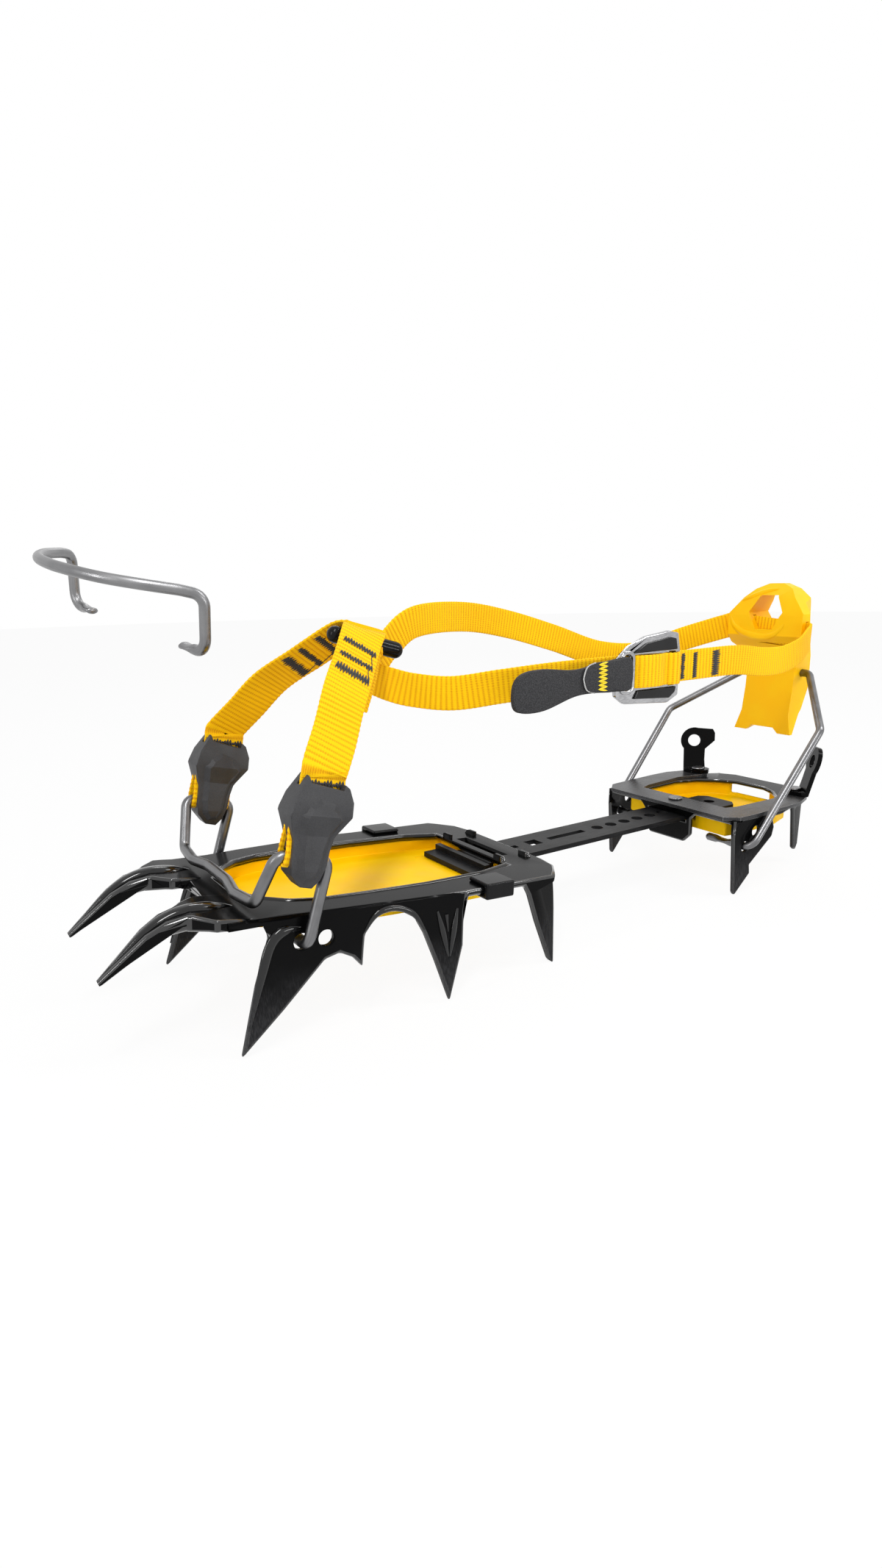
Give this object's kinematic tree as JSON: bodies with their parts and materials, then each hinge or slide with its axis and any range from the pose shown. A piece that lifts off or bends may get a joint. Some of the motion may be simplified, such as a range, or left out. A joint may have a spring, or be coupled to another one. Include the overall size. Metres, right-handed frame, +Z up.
{
  "type": "climbing crampon",
  "caption": "Pressed-steel climbing crampon with a sliding heel section, wire toe and heel bails, a plastic heel lever, a webbing ankle strap and a spare toe bail.",
  "frame": {"origin": "in the plane of the point tips, on the mid plane, below the link between the front and heel sections", "axes": "+X towards the toe, +Y towards the buckle side, +Z up"},
  "size_m": [0.3441, 0.1375, 0.1526],
  "materials": {
    "black_steel": "gloss",
    "bar_steel": "satin",
    "wire_steel": "satin",
    "polished_steel": "polished",
    "yellow_plastic": "satin",
    "yellow_webbing": "matte",
    "dark_rubber": "matte",
    "black_clip": "gloss",
    "black_inlay": "gloss"
  },
  "bodies": {
    "front": {"front_frame": "black_steel", "front_antiball_plate": "yellow_plastic", "antiball_clips": "black_clip", "link_bar": "bar_steel"},
    "heel": {"heel_frame": "black_steel", "heel_antiball_plate": "yellow_plastic", "heel_plate": "bar_steel", "heel_rivets": "wire_steel", "heel_post_left": "black_steel", "heel_post_right": "black_steel"},
    "heel_lock": {"lock_leaf": "black_steel"},
    "heel_wire": {"heel_bail": "wire_steel"},
    "lever": {"heel_lever": "yellow_plastic"},
    "toe_harness": {"strap_bail": "wire_steel", "strap_ring": "black_clip", "front_strap_left": "yellow_webbing", "front_strap_right": "yellow_webbing"},
    "left_connector": {"connector_left": "dark_rubber"},
    "right_connector": {"connector_right": "dark_rubber"},
    "ankle": {"ankle_strap": "yellow_webbing", "strap_keeper": "yellow_webbing", "buckle_plate": "polished_steel", "buckle_inlays": "black_inlay"},
    "tab": {"pull_tab": "dark_rubber"},
    "spare_toe_bail": {"toe_bail": "wire_steel"}
  },
  "joints": [
    {"name": "size_slide", "type": "slide", "parent": "front", "child": "heel", "axis": [1, 0, 0], "range_m": [-0.0166, 0.0581]},
    {"name": "lock_leaf_flex", "type": "hinge", "parent": "heel", "child": "heel_lock", "pos_m": [-0.0956, 0, 0.0317], "axis": [0, 1, 0], "range_deg": [0, 6], "stiffness_Nm_per_rad": 0.4},
    {"name": "heel_wire_swing", "type": "hinge", "parent": "heel", "child": "heel_wire", "pos_m": [-0.09148, 0, 0.0219], "axis": [0, 1, 0], "range_deg": [-40, 12]},
    {"name": "lever_tilt", "type": "hinge", "parent": "heel_wire", "child": "lever", "pos_m": [-0.16, 0, 0.091], "axis": [0, 1, 0], "range_deg": [-75, 10]},
    {"name": "strap_bail_swing", "type": "hinge", "parent": "front", "child": "toe_harness", "pos_m": [0.12088, 0, 0.03186], "axis": [0, 1, 0], "range_deg": [-15, 3], "deforming": ["ankle_strap"]},
    {"name": "left_connector_turn", "type": "hinge", "parent": "toe_harness", "child": "left_connector", "pos_m": [0.1196, 0.0415, 0.06], "axis": [0.9703, 0, 0.2419], "range_deg": [-8, 8], "deforming": ["front_strap_left"]},
    {"name": "right_connector_turn", "type": "hinge", "parent": "toe_harness", "child": "right_connector", "pos_m": [0.1196, -0.0415, 0.06], "axis": [0.9703, 0, 0.2419], "range_deg": [-8, 8], "deforming": ["front_strap_right"]},
    {"name": "ankle_level", "type": "hinge", "parent": "toe_harness", "child": "ankle", "pos_m": [0.074, 0, 0.118], "axis": [0, 1, 0], "range_deg": [-3, 15]},
    {"name": "pull_tab_fold", "type": "hinge", "parent": "ankle", "child": "tab", "pos_m": [-0.0105, 0.04295, 0.1045], "axis": [0, 0, 1], "range_deg": [0, 80]},
    {"name": "spare_bail_lift", "type": "slide", "parent": "front", "child": "spare_toe_bail", "axis": [0, 0, 1], "range_m": [0, 0.05]}
  ],
  "couplings": [
    {"joint": "ankle_level", "follows": "strap_bail_swing", "ratio": -1}
  ]
}
